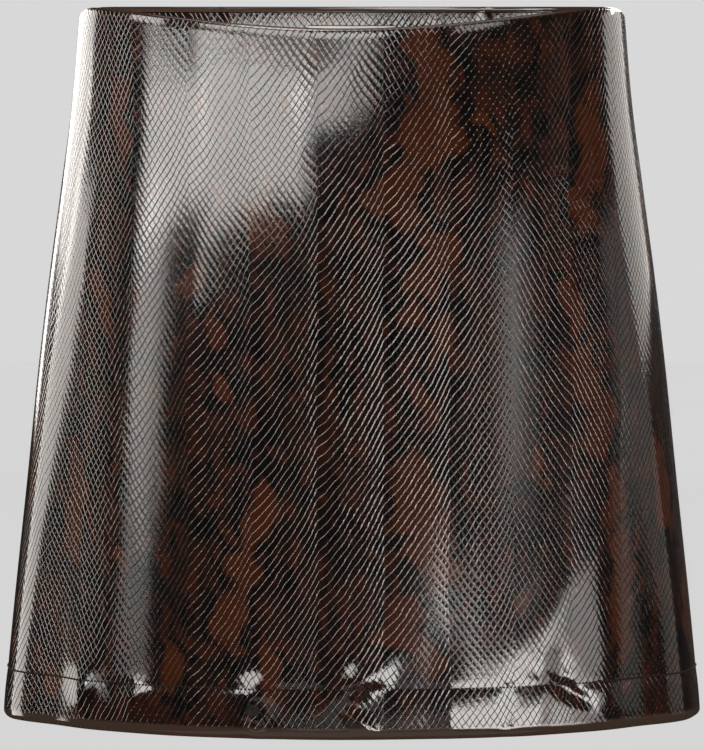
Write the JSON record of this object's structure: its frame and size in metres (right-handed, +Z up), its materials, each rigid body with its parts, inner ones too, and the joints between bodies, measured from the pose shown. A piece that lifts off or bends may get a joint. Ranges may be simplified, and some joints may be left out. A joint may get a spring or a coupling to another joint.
{
  "type": "leather mini skirt",
  "caption": "Short A-line skirt in glossy embossed leather, filled out as worn: panels with turned-up hem, waist facing and a side zip with a hinged pull tab.",
  "frame": {"origin": "centre of the waist opening, level with the waist edge at the back, where the wearer holds the skirt up", "axes": "+Z up, out of the waist opening; -Y to the front of the skirt; +X to the wearer's left"},
  "size_m": [0.3854, 0.2711, 0.39],
  "materials": {
    "coated_leather": "glossy coated leather with a fine snake-scale emboss, dark brown with rust-brown and black python blotches",
    "label_satin": "plain woven satin",
    "zip_tape": "knitted tape",
    "zip_nylon": "nylon coil",
    "zip_enamel": "dark enamel"
  },
  "bodies": {
    "skirt": {"front_panel": "coated_leather", "back_panel": "coated_leather", "front_facing": "coated_leather", "back_facing": "coated_leather", "waist_label": "label_satin", "zip_tape_front": "zip_tape", "zip_tape_back": "zip_tape", "zip_coil": "zip_nylon", "zip_bottom_stop": "zip_enamel", "zip_slider": "zip_enamel"},
    "pull_tab": {"zip_pull_tab": "zip_enamel"}
  },
  "joints": [
    {"name": "pull_tab_hinge", "type": "hinge", "parent": "skirt", "child": "pull_tab", "pos_m": [0.14933, 0.02653, -0.01212], "axis": [0.3182, -0.9476, 0.0265], "range_deg": [0, 170]}
  ]
}
